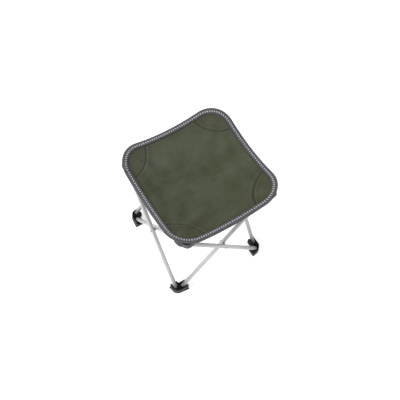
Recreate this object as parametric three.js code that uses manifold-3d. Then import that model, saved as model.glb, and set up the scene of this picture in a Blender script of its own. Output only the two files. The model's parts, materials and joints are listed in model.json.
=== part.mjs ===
// Folding camp stool with four feet and a square cloth seat.
// Each side of the square holds two steel tubes crossed in an X. The tubes are hinged at their ends to
// moulded feet and hubs, so the whole frame folds into a bundle. Millimetres, +Z up, origin on the floor
// under the middle of the seat.
import * as THREE from 'three';
import { mergeVertices } from 'three/addons/utils/BufferGeometryUtils.js';
import Module from 'manifold-3d';

const wasm = await Module();
wasm.setup();

// ---- driving dimensions -------------------------------------------------------------------------
const CORNER = 150;            // half the spacing of the corner points, where the side planes meet
const PIVOT_INSET = 14;        // from a corner point to a tube's hinge, along the side
const FOOT_PIVOT_Z = 22;
const HUB_PIVOT_Z = 384.5;
const TUBE_RADIUS = 6.5;
const TUBE_WALL = 0.9;
const TUBE_OVERHANG = 9;       // tube past its hinge
const STAGGER = 7.5;           // each tube's distance from the plane of its side
const PIN_RADIUS = 2;
const PIN_HEAD_RADIUS = 3.8;
const PIN_HEAD_HEIGHT = 1.7;
const RIVET_HEAD_RADIUS = 4.2;
const RIVET_HEAD_HEIGHT = 1.5;
const WASHER_RADIUS = 6;
const GAP = 0.3;               // running clearance between neighbouring pieces
const SWING_CLEARANCE = 0.4;   // round the sweep of a tube's end
const CHANNEL = TUBE_RADIUS + 0.8;   // half width of the slot that a tube swings in
const WALL = 3.2;              // moulded wall beside a slot
const ARM = 30;                // reach of a moulding's arm from the corner point
const CORNER_ROUND = 20;       // radius of a moulding's outer corner in plan
const OUTER_WALL_RISE = 5;     // moulding's outer walls over its hinges
const FIN_RISE = 14;           // and its inner walls
const GUSSET_RISE = 12;        // block that joins the inner walls
const GUSSET_REACH = 6;
const ROOF_REACH = 7;          // roof over the tubes' lower ends, from the corner point
const ROOF_RISE = 8;
const FLANGE_HEIGHT = 4.5;     // spread rim round a foot's sole
const FLANGE_STEP = 1.2;
const FLANGE_FLARE = 2.6;      // how much more it spreads at the arms' ends
const HUB_FLOOR = 3.4;         // plastic over the tubes' ends
const HUB_SHOULDER = 2.8;      // step round a hub's flat end
const FIN_ROOT = 3;            // height over the flat end from which the inner walls rise
const BOSS_FACE_RADIUS = 10;   // round pad on a hub's flat end that the seat's corner lies on
const BOSS_ROOT_RADIUS = 9;
const BOSS_RISE = 6;
const BOSS_CENTRE = [-4, 11];  // from the corner point
const POCKET_STANDOFF = 2.4;   // of the pocket cloth from the hub's outside
const POCKET_THICKNESS = 1.6;
const POCKET_TOP = 3;          // over the hub's flat end
const POCKET_DEPTH = 20;       // under the hub's flat end
const POCKET_NOTCH_RADIUS = 5; // gap between its two lobes
const SEAT_HALF = 176;
const SEAT_CORNER_RADIUS = 73;
const SEAT_PEAK_Z = 432.75;    // where the seat's edges would meet if its corners weren't round
const SEAT_EDGE_Z = 394;       // middle of each edge
const SEAT_CENTRE_Z = 384;
const SEAT_CLOTH = 2;
const BINDING_WIDTH = 16;
const BINDING_THICKNESS = 4;
const BINDING_LIFT = 1;        // of its top over the cloth
const RIM_WIDTH = 46;          // outer band of the seat, carried by the hubs when the stool folds
const SIDES = ['front', 'right', 'back', 'left'];
const CORNERS = ['front_left', 'front_right', 'back_right', 'back_left'];

// ---- values that follow from them ---------------------------------------------------------------
const FLAT_RUN = 2 * (CORNER - PIVOT_INSET);
const RISE = HUB_PIVOT_Z - FOOT_PIVOT_Z;
const TUBE_SPAN = Math.hypot(FLAT_RUN, RISE);
const TILT = Math.atan2(FLAT_RUN, RISE);
const SWING = Math.hypot(TUBE_OVERHANG, TUBE_RADIUS);      // sweep of a tube's end about its hinge
const OUTER_FACE = CHANNEL + WALL - STAGGER;               // outside of the arm whose tube is inboard
const INBOARD = STAGGER + CHANNEL;                         // slot's side nearest the middle of the stool
const SLOT_END = PIVOT_INSET - SWING - SWING_CLEARANCE;
const BORE = PIN_RADIUS + GAP;
const QUARTER = Math.PI / 2;

const material = (color, roughness, metalness) =>
  new THREE.MeshStandardMaterial({ color, roughness, metalness });
const steel = () => material(0xc4c5c8, 0.35, 0.6);
const zinc = () => material(0x9a9b9d, 0.35, 0.9);
const black = () => material(0x1b1c1e, 0.5, 0);
const olive = () => material(0x53573f, 0.9, 0);
const grey = () => material(0x5a5a62, 0.9, 0);

// ---- solids -------------------------------------------------------------------------------------
function toManifold(geometry) {
  const bare = geometry.clone();
  bare.deleteAttribute('normal');
  bare.deleteAttribute('uv');
  const merged = mergeVertices(bare, 1e-4);
  return new wasm.Manifold(new wasm.Mesh({
    numProp: 3,
    vertProperties: Float32Array.from(merged.attributes.position.array),
    triVerts: Uint32Array.from(merged.index.array),
  }));
}

function toGeometry(solid) {
  const { vertProperties, triVerts } = solid.getMesh();
  const geometry = new THREE.BufferGeometry();
  geometry.setAttribute('position', new THREE.BufferAttribute(vertProperties, 3));
  geometry.setIndex(new THREE.BufferAttribute(triVerts, 1));
  geometry.computeVertexNormals();
  return geometry;
}

function box(x0, x1, y0, y1, z0, z1) {
  const geometry = new THREE.BoxGeometry(x1 - x0, y1 - y0, z1 - z0);
  return toManifold(geometry.translate((x0 + x1) / 2, (y0 + y1) / 2, (z0 + z1) / 2));
}

function prism(shape, z0, z1) {
  const options = { depth: z1 - z0, bevelEnabled: false, curveSegments: 6 };
  const geometry = new THREE.ExtrudeGeometry(shape, options);
  return toManifold(geometry.translate(0, 0, z0));
}

function turned(profile, segments) {
  return new THREE.LatheGeometry(profile.map(([r, y]) => new THREE.Vector2(r, y)), segments);
}

// A closed sheet of the given thickness under the surface point(u, v), with u and v from 0 to 1.
function sheet(rows, columns, thickness, point) {
  const positions = [];
  for (const drop of [0, thickness]) {
    for (let i = 0; i <= rows; i++) {
      for (let j = 0; j <= columns; j++) {
        const [x, y, z] = point(i / rows, j / columns);
        positions.push(x, y, z - drop);
      }
    }
  }
  const layer = (rows + 1) * (columns + 1);
  const at = (i, j) => i * (columns + 1) + j;
  const faces = [];
  const quad = (a, b, c, d) => faces.push([a, b, c], [a, c, d]);
  for (let i = 0; i < rows; i++) {
    for (let j = 0; j < columns; j++) {
      const ring = [at(i, j), at(i, j + 1), at(i + 1, j + 1), at(i + 1, j)];
      quad(...ring);
      quad(...ring.map((k) => k + layer).reverse());
    }
  }
  for (let j = 0; j < columns; j++) {
    quad(at(0, j + 1), at(0, j), at(0, j) + layer, at(0, j + 1) + layer);
    quad(at(rows, j), at(rows, j + 1), at(rows, j + 1) + layer, at(rows, j) + layer);
  }
  for (let i = 0; i < rows; i++) {
    quad(at(i, 0), at(i + 1, 0), at(i + 1, 0) + layer, at(i, 0) + layer);
    quad(at(i + 1, columns), at(i, columns), at(i, columns) + layer, at(i + 1, columns) + layer);
  }
  const loose = new THREE.BufferGeometry();
  loose.setAttribute('position', new THREE.BufferAttribute(new Float32Array(positions), 3));
  loose.setIndex(faces.flat());
  const merged = mergeVertices(loose, 1e-4);
  const index = Array.from(merged.index.array);
  const kept = [];
  for (let k = 0; k < index.length; k += 3) {
    const [a, b, c] = index.slice(k, k + 3);
    if (a !== b && b !== c && c !== a) kept.push(a, b, c);
  }
  merged.setIndex(kept);
  merged.computeVertexNormals();
  return merged;
}

// ---- frame tubes and their fasteners ------------------------------------------------------------
function tubeGeometry() {
  const end = TUBE_SPAN / 2 + TUBE_OVERHANG;
  const inner = TUBE_RADIUS - TUBE_WALL;
  const wall = turned([[inner, -end], [TUBE_RADIUS, -end], [TUBE_RADIUS, end], [inner, end], [inner, -end]], 20);
  let solid = toManifold(wall.rotateX(QUARTER));
  const drill = new THREE.CylinderGeometry(BORE, BORE, 4 * TUBE_RADIUS, 12);
  for (const z of [-TUBE_SPAN / 2, 0, TUBE_SPAN / 2]) {
    solid = solid.subtract(toManifold(drill.clone().translate(0, 0, z)));
  }
  return toGeometry(solid);
}

// Solid rivet through both tubes where they cross, with a low head at each end.
function crossRivetGeometry() {
  const face = STAGGER + TUBE_RADIUS + GAP;
  const crown = face + RIVET_HEAD_HEIGHT;
  const head = [[0.75 * RIVET_HEAD_RADIUS, crown - 0.2], [RIVET_HEAD_RADIUS, crown - 0.7],
    [RIVET_HEAD_RADIUS, face], [PIN_RADIUS, face]];
  const mirrored = head.map(([r, y]) => [r, -y]);
  return turned([[0, -crown], ...mirrored, ...head.reverse(), [0, crown]], 12);
}

function washerGeometry() {
  const half = STAGGER - TUBE_RADIUS - GAP;
  return turned([[BORE, -half], [WASHER_RADIUS, -half], [WASHER_RADIUS, half], [BORE, half], [BORE, -half]], 16);
}

// Hinge pin: its head stands outside a foot or hub, its shank runs along +Y through the slot.
function pinGeometry() {
  const length = 2 * (CHANNEL + WALL) - 0.7;
  const crown = [[0, -PIN_HEAD_HEIGHT], [PIN_HEAD_RADIUS - 1, 0.2 - PIN_HEAD_HEIGHT],
    [PIN_HEAD_RADIUS, 0.8 - PIN_HEAD_HEIGHT]];
  return turned([...crown, [PIN_HEAD_RADIUS, -GAP], [PIN_RADIUS, -GAP], [PIN_RADIUS, length], [0, length]], 12);
}

// ---- corner moulding: foot or hub ---------------------------------------------------------------
// Plan of the moulding, grown outwards by offset: two arms at a right angle with a round outer corner.
// The arm along +X holds the tube that is STAGGER inside its side plane, the arm along +Y the one outside.
function cornerPlan(offset, flare = 0) {
  const left = -INBOARD - WALL - offset;
  const front = -OUTER_FACE - offset;
  const round = CORNER_ROUND + offset;
  const shape = new THREE.Shape();
  shape.moveTo(ARM, front - flare);
  shape.lineTo(ARM, INBOARD + WALL);
  shape.lineTo(OUTER_FACE, INBOARD + WALL);
  shape.lineTo(OUTER_FACE, ARM);
  shape.lineTo(left - flare, ARM);
  shape.lineTo(left, front + round);
  shape.absarc(left + round, front + round, round, Math.PI, 1.5 * Math.PI, false);
  return shape;
}

// Room that a tube on the X axis swings in: round at the tube's end, and roofed over that end.
function slotSolid(base) {
  const nose = TUBE_RADIUS - 1;
  const mouth = ARM + 9;
  const shape = new THREE.Shape();
  shape.moveTo(mouth, -CHANNEL);
  shape.lineTo(mouth, CHANNEL);
  shape.lineTo(SLOT_END + nose, CHANNEL);
  shape.absellipse(SLOT_END + nose, 0, nose, CHANNEL, QUARTER, 3 * QUARTER, false);
  const lower = prism(shape, base - SWING - SWING_CLEARANCE, base + 2);
  return lower.add(box(ROOF_REACH, mouth, -CHANNEL, CHANNEL, base + 1, base + FIN_RISE + 1));
}

// base is the height of the hinges over the flat end. Outer walls are low, inner walls are tall fins.
function cornerBlock(base, extras) {
  const finTop = base + FIN_RISE;
  const inner = OUTER_FACE - WALL;
  let solid = extras.reduce((whole, extra) => whole.add(extra));
  solid = solid.add(box(inner, ARM, INBOARD, INBOARD + WALL, FIN_ROOT, finTop));
  solid = solid.add(box(inner, OUTER_FACE, INBOARD, ARM, FIN_ROOT, finTop));
  const gussetEnd = INBOARD + GUSSET_REACH;
  solid = solid.add(box(inner, GUSSET_REACH, INBOARD, gussetEnd, FIN_ROOT, base + GUSSET_RISE));
  const slot = slotSolid(base);
  solid = solid.subtract(slot.translate([0, STAGGER, 0]));
  solid = solid.subtract(slot.rotate([0, 0, 90]).translate([-STAGGER, 0, 0]));
  const drill = new THREE.CylinderGeometry(BORE, BORE, 2 * (CHANNEL + WALL) + 2, 12);
  const along = toManifold(drill.clone().translate(PIVOT_INSET, STAGGER, base));
  const across = toManifold(drill.clone().rotateZ(QUARTER).translate(-STAGGER, PIVOT_INSET, base));
  return solid.subtract(along).subtract(across);
}

function footGeometry() {
  const body = prism(cornerPlan(0), 0, FOOT_PIVOT_Z + OUTER_WALL_RISE);
  const flange = prism(cornerPlan(FLANGE_STEP, FLANGE_FLARE), 0, FLANGE_HEIGHT);
  const reach = box(-ARM, ROOF_REACH, -ARM, ROOF_REACH, 0, FOOT_PIVOT_Z + ROOF_RISE);
  const roof = prism(cornerPlan(0), FLANGE_HEIGHT, FOOT_PIVOT_Z + ROOF_RISE).intersect(reach);
  return toGeometry(cornerBlock(FOOT_PIVOT_Z, [body, flange, roof]));
}

const HUB_BASE = SWING + HUB_FLOOR;
function hubGeometry() {
  const body = prism(cornerPlan(0), HUB_SHOULDER, HUB_BASE + OUTER_WALL_RISE);
  const top = prism(cornerPlan(-HUB_SHOULDER), 0, HUB_FLOOR);
  const [bossX, bossY] = BOSS_CENTRE;
  const boss = new THREE.CylinderGeometry(BOSS_ROOT_RADIUS, BOSS_FACE_RADIUS, BOSS_RISE + 2, 16);
  boss.rotateX(QUARTER).translate(bossX, bossY, 1 - BOSS_RISE / 2);
  return toGeometry(cornerBlock(HUB_BASE, [body, top, toManifold(boss)]));
}

// ---- seat ---------------------------------------------------------------------------------------
// Height of the cloth's upper face: high at the corners, slack along the edges and in the middle.
function seatZ(x, y) {
  const u = 1 - (x / SEAT_HALF) ** 2;
  const v = 1 - (y / SEAT_HALF) ** 2;
  const fall = SEAT_PEAK_Z - SEAT_EDGE_Z;
  return SEAT_PEAK_Z - fall * (u + v) + (SEAT_CENTRE_Z - SEAT_EDGE_Z + fall) * u * v;
}

// Distance of the seat's front outline from the middle, at x.
function outline(x) {
  const start = SEAT_HALF - SEAT_CORNER_RADIUS;
  const over = Math.max(0, Math.abs(x) - start);
  return start + Math.sqrt(SEAT_CORNER_RADIUS ** 2 - over ** 2);
}

const HINGE_LINE = SEAT_HALF - RIM_WIDTH;
const mix = (a, b, t) => a + (b - a) * t;

function panelGeometry() {
  return sheet(7, 10, SEAT_CLOTH, (u, v) => {
    const depth = mix(HINGE_LINE - GAP, GAP, u);
    const x = mix(-1, 1, v) * (depth - GAP);
    return [x, -depth, seatZ(x, depth)];
  });
}

function bandGeometry(from, to, thickness, lift) {
  return sheet(2, 16, thickness, (u, v) => {
    const x = mix(-1, 1, v) * (HINGE_LINE - GAP);
    const y = mix(from(x), to(x), u);
    return [x, -y, seatZ(x, y) + lift];
  });
}

const rimGeometry = () =>
  bandGeometry((x) => outline(x) - BINDING_WIDTH - GAP, () => HINGE_LINE, SEAT_CLOTH, 0);
const bindingGeometry = () =>
  bandGeometry((x) => outline(x), (x) => outline(x) - BINDING_WIDTH, BINDING_THICKNESS, BINDING_LIFT);

// Corner of the seat: a fan from its inner corner out to the round outline.
function seatCornerGeometry() {
  const inner = HINGE_LINE + GAP;
  const start = SEAT_HALF - SEAT_CORNER_RADIUS;
  const sweep = Math.asin((inner - start) / SEAT_CORNER_RADIUS);
  return sheet(3, 9, SEAT_CLOTH, (u, v) => {
    const angle = mix(sweep, QUARTER - sweep, v);
    const outerX = start + SEAT_CORNER_RADIUS * Math.cos(angle);
    const outerY = start + SEAT_CORNER_RADIUS * Math.sin(angle);
    const x = mix(outerX, inner, u);
    const y = mix(outerY, inner, u);
    return [-x, -y, seatZ(x, y)];
  });
}

// Cloth pocket round the outside of a hub, in the hub's own plan, with one lobe for each arm.
function pocketGeometry() {
  const band = prism(cornerPlan(POCKET_STANDOFF + POCKET_THICKNESS), -POCKET_TOP, POCKET_DEPTH);
  const inside = prism(cornerPlan(POCKET_STANDOFF), -POCKET_TOP - 1, POCKET_DEPTH + 1);
  const corner = CORNER_ROUND * (1 - Math.SQRT1_2);
  const notch = new THREE.CylinderGeometry(POCKET_NOTCH_RADIUS, POCKET_NOTCH_RADIUS, 2 * CORNER_ROUND, 16);
  notch.rotateZ(-QUARTER / 2).translate(corner - INBOARD - WALL, corner - OUTER_FACE, POCKET_DEPTH);
  return toGeometry(band.subtract(inside).subtract(toManifold(notch)));
}

// ---- assembly -----------------------------------------------------------------------------------
const stool = new THREE.Group();
stool.name = 'camp_stool';

function named(parent, name, geometry, surface) {
  const mesh = new THREE.Mesh(geometry, surface);
  mesh.name = name;
  parent.add(mesh);
  return mesh;
}

function quarterTurn(i) {
  const group = new THREE.Group();
  group.rotation.z = i * QUARTER;
  stool.add(group);
  return group;
}

const tube = tubeGeometry();
const rivet = crossRivetGeometry();
const washer = washerGeometry();
const pin = pinGeometry();
const foot = footGeometry();
const hub = hubGeometry();
const panel = panelGeometry();
const rim = rimGeometry();
const binding = bindingGeometry();
const seatCorner = seatCornerGeometry();
const pocket = pocketGeometry();

// A pin in each arm of a corner moulding: names are those of the tubes that the two pins hold.
function addPins(group, base, alongName, acrossName) {
  const along = named(group, alongName, pin, zinc());
  along.position.set(PIVOT_INSET, -OUTER_FACE, base);
  const across = named(group, acrossName, pin, zinc());
  across.position.set(-INBOARD - WALL, PIVOT_INSET, base);
  across.rotation.z = -QUARTER;
}

SIDES.forEach((side, i) => {
  const group = quarterTurn(i);
  const middle = (FOOT_PIVOT_Z + HUB_PIVOT_Z) / 2;
  const inner = named(group, `${side}_inner_tube`, tube, steel());
  inner.position.set(0, -CORNER + STAGGER, middle);
  inner.rotation.y = TILT;
  const outer = named(group, `${side}_outer_tube`, tube, steel());
  outer.position.set(0, -CORNER - STAGGER, middle);
  outer.rotation.y = -TILT;
  named(group, `${side}_cross_rivet`, rivet, zinc()).position.set(0, -CORNER, middle);
  named(group, `${side}_cross_washer`, washer, zinc()).position.set(0, -CORNER, middle);
  named(group, `${side}_seat_panel`, panel, olive());
  named(group, `${side}_seat_rim`, rim, olive());
  named(group, `${side}_binding`, binding, grey());
});

CORNERS.forEach((corner, i) => {
  const group = quarterTurn(i);
  const previous = SIDES[(i + 3) % 4];

  const footGroup = new THREE.Group();
  footGroup.position.set(-CORNER, -CORNER, 0);
  group.add(footGroup);
  named(footGroup, `${corner}_foot`, foot, black());
  addPins(footGroup, FOOT_PIVOT_Z, `${SIDES[i]}_inner_foot_pin`, `${previous}_outer_foot_pin`);

  // A hub is the same moulding turned over about the diagonal of its corner.
  const hubGroup = new THREE.Group();
  hubGroup.position.set(-CORNER, -CORNER, HUB_PIVOT_Z + HUB_BASE);
  hubGroup.quaternion.setFromAxisAngle(new THREE.Vector3(1, 1, 0).normalize(), Math.PI);
  group.add(hubGroup);
  named(hubGroup, `${corner}_hub`, hub, black());
  addPins(hubGroup, HUB_BASE, `${previous}_inner_hub_pin`, `${SIDES[i]}_outer_hub_pin`);
  named(hubGroup, `${corner}_pocket`, pocket, grey());

  named(group, `${corner}_seat_corner`, seatCorner, olive());
});

export default stool;
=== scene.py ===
import json
import math

import bmesh
import bpy
import numpy as np
from mathutils import Matrix, Vector, noise
from mathutils.bvhtree import BVHTree


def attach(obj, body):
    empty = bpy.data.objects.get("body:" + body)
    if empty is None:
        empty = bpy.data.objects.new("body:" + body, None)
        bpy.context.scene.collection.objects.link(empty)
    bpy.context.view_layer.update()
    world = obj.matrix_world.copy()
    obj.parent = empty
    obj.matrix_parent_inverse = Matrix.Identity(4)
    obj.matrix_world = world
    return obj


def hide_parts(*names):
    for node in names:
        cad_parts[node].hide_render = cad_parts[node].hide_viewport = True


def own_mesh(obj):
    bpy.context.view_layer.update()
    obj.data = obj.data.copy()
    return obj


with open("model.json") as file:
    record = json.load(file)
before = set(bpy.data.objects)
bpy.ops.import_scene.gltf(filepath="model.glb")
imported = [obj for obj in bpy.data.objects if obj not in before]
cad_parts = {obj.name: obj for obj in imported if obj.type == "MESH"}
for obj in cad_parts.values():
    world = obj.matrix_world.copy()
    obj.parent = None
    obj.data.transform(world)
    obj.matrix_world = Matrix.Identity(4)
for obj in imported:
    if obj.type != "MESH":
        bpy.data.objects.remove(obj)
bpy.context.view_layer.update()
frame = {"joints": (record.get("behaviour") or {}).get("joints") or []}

MM = 0.001
scene = bpy.context.scene
scene.view_settings.view_transform = "Standard"

# ---- dimensions, in metres, as in the CAD source ----------
CORNER = 0.150                  # half the spacing of the corner points
PIVOT_INSET = 0.014
STAGGER = 0.0075
CHANNEL = 0.0073
WALL = 0.0032
ARM = 0.030
CORNER_ROUND = 0.020            # outer corner of a moulding in plan
INBOARD = STAGGER + CHANNEL
OUTER_FACE = CHANNEL + WALL - STAGGER
TUBE_RADIUS = 0.0065
TUBE_OVERHANG = 0.009
SWING = math.hypot(TUBE_OVERHANG, TUBE_RADIUS)
SEAT_HALF = 0.176
CORNER_RADIUS = 0.073
HINGE_LINE = 0.130
SIDES = ["front", "right", "back", "left"]
CORNERS = ["front_left", "front_right", "back_right", "back_left"]
JOINT = {j["name"]: j for j in frame["joints"]}
FOOT_PIVOT_Z = JOINT["fold"]["pos_m"][2]
HUB_PIVOT_Z = JOINT["front_outer_hub_hinge"]["pos_m"][2]
FOLD = math.radians(JOINT["fold"]["range_deg"][1])

# ---- camera: the view from high over the front left corner ----
AZIMUTH, ELEVATION, ROLL = (math.radians(a) for a in (-36.13, 63.2, 4.44))
DISTANCE = 1.957
TARGET = Vector((0, 0, 0.2))


def add_camera():
    back = Vector((
        math.sin(AZIMUTH) * math.cos(ELEVATION),
        -math.cos(AZIMUTH) * math.cos(ELEVATION),
        math.sin(ELEVATION),
    ))
    level = Vector((math.cos(AZIMUTH), math.sin(AZIMUTH), 0))
    upright = back.cross(level)
    right = math.cos(ROLL) * level + math.sin(ROLL) * upright
    up = back.cross(right)
    data = bpy.data.cameras.new("camera")
    data.sensor_width = 36
    data.lens = 57.1
    data.shift_x, data.shift_y = 0.0078, 0.0163
    camera = bpy.data.objects.new("camera", data)
    scene.collection.objects.link(camera)
    turn = Matrix((right, up, back)).transposed().to_4x4()
    camera.matrix_world = Matrix.Translation(TARGET + DISTANCE * back) @ turn
    scene.camera = camera


# ---- mesh helpers -----------------------------------------
def new_object(name, mesh, material):
    obj = bpy.data.objects.new(name, mesh)
    scene.collection.objects.link(obj)
    if material is not None:
        mesh.materials.append(material)
    return obj


def from_bmesh(name, bm, material=None):
    """A visible piece has a material and smooth faces. A tool or blank has neither."""
    bmesh.ops.recalc_face_normals(bm, faces=bm.faces)
    mesh = bpy.data.meshes.new(name)
    bm.to_mesh(mesh)
    bm.free()
    mesh.polygons.foreach_set("use_smooth", [material is not None] * len(mesh.polygons))
    return new_object(name, mesh, material)


def applied(obj):
    """Replaces obj's mesh by the result of its modifiers."""
    bpy.context.view_layer.update()
    result = bpy.data.meshes.new_from_object(obj.evaluated_get(bpy.context.evaluated_depsgraph_get()))
    obj.modifiers.clear()
    old = obj.data
    obj.data = result
    bpy.data.meshes.remove(old)
    return obj


def soften(obj, width):
    bevel = obj.modifiers.new("bevel", "BEVEL")
    bevel.width = width
    bevel.segments = 2
    bevel.limit_method = "ANGLE"
    bevel.angle_limit = math.radians(32)
    bevel.harden_normals = True
    return applied(obj)


def combine(obj, tool, operation):
    boolean = obj.modifiers.new("boolean", "BOOLEAN")
    boolean.object = tool
    boolean.operation = operation
    boolean.solver = "EXACT"
    applied(obj)
    bpy.data.objects.remove(tool)
    return obj


def bridge(bm, low, high):
    """Joins two rings of equally many vertices by four-sided faces."""
    for k in range(len(low)):
        n = (k + 1) % len(low)
        bm.faces.new((low[k], low[n], high[n], high[k]))


def loft(bm, rings):
    """Skins rings of equally many points and caps the two ends."""
    rows = [[bm.verts.new(p) for p in ring] for ring in rings]
    for low, high in zip(rows, rows[1:]):
        bridge(bm, low, high)
    bm.faces.new(list(reversed(rows[0])))
    bm.faces.new(rows[-1])


def lofted(name, rings, material=None):
    bm = bmesh.new()
    loft(bm, rings)
    return from_bmesh(name, bm, material)


def turned(name, profile, matrix, segments, material=None):
    """Turns a profile of (radius, height) about Z. It starts and ends on the axis, or closes on itself."""
    bm = bmesh.new()
    on_axis = profile[0][0] == 0
    rows = []
    for radius, height in profile[1:-1] if on_axis else profile:
        angles = [2 * math.pi * k / segments for k in range(segments)]
        rows.append([bm.verts.new(matrix @ Vector((radius * math.cos(a), radius * math.sin(a), height)))
                     for a in angles])
    for low, high in zip(rows, rows[1:] if on_axis else rows[1:] + rows[:1]):
        bridge(bm, low, high)
    if on_axis:
        for ring, height in ((rows[0], profile[0][1]), (rows[-1], profile[-1][1])):
            tip = bm.verts.new(matrix @ Vector((0, 0, height)))
            for k in range(segments):
                bm.faces.new((ring[k], ring[(k + 1) % segments], tip))
    return from_bmesh(name, bm, material)


def box_object(x0, x1, y0, y1, z0, z1):
    return lofted("tool", [[(x0, y0, z), (x1, y0, z), (x1, y1, z), (x0, y1, z)] for z in (z0, z1)])


def quarter(i):
    return Matrix.Rotation(i * math.pi / 2, 4, "Z")


def along_axis(position, axis):
    """A matrix whose Z axis runs along axis through position."""
    return Matrix.Translation(position) @ Vector(axis).to_track_quat("Z", "Y").to_matrix().to_4x4()


# ---- materials --------------------------------------------
class Nodes:
    """Short names for building one material's nodes."""

    def __init__(self, name, roughness, **values):
        self.material = bpy.data.materials.new(name)
        self.material.use_nodes = True
        self.tree = self.material.node_tree
        self.shader = self.tree.nodes["Principled BSDF"]
        self.shader.inputs["Roughness"].default_value = roughness
        for socket, value in values.items():
            self.shader.inputs[socket.replace("_", " ")].default_value = value
        self.place = self.add("ShaderNodeTexCoord").outputs["Object"]

    def add(self, kind, inputs=None, **settings):
        node = self.tree.nodes.new(kind)
        for key, value in settings.items():
            setattr(node, key, value)
        for key, value in (inputs or {}).items():
            self.feed(node.inputs[key], value)
        return node

    def feed(self, socket, value):
        if isinstance(value, bpy.types.NodeSocket):
            self.tree.links.new(value, socket)
        else:
            socket.default_value = value

    def math(self, operation, a, b=0.0):
        node = self.add("ShaderNodeMath", {0: a, 1: b}, operation=operation)
        return node.outputs[0]

    def noise(self, scale, detail=3.0, roughness=0.5, vector=None):
        node = self.add("ShaderNodeTexNoise", {
            "Vector": self.place if vector is None else vector,
            "Scale": scale, "Detail": detail, "Roughness": roughness,
        })
        return node.outputs["Fac"]

    def spread(self, value, low, high, new_low, new_high):
        node = self.add("ShaderNodeMapRange", {0: value, 1: low, 2: high, 3: new_low, 4: new_high})
        return node.outputs[0]

    def ramp(self, value, *stops):
        node = self.add("ShaderNodeValToRGB", {"Fac": value})
        elements = node.color_ramp.elements
        while len(elements) < len(stops):
            elements.new(1.0)
        for element, (position, color) in zip(elements, stops):
            element.position = position
            element.color = (*color, 1)
        return node.outputs["Color"]

    def wave(self, value, length):
        return self.math("SINE", self.math("MULTIPLY", value, 2 * math.pi / length))

    def mix(self, amount, a, b):
        node = self.add("ShaderNodeMix", data_type="RGBA")
        for key, value in ((0, amount), (6, a), (7, b)):
            self.feed(node.inputs[key], value)
        return node.outputs[2]

    def bump(self, height, distance, strength=1.0, normal=None):
        inputs = {"Height": height, "Distance": distance, "Strength": strength}
        if normal is not None:
            inputs["Normal"] = normal
        return self.add("ShaderNodeBump", inputs).outputs["Normal"]

    def finish(self, color, normal=None, roughness=None):
        self.feed(self.shader.inputs["Base Color"], color)
        if normal is not None:
            self.feed(self.shader.inputs["Normal"], normal)
        if roughness is not None:
            self.feed(self.shader.inputs["Roughness"], roughness)
        return self.material


SEAM_CENTRE = 0.185        # the pocket seams are arcs about points outside the corners
SEAM_RADIUS = 0.104
# A pale olive used only for painted light: painted sheen towards the back of the seat and painted highlight
# on the crests of the broad folds.
PAINTED_LIGHT_OLIVE = (0.092, 0.101, 0.070, 1)


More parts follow.
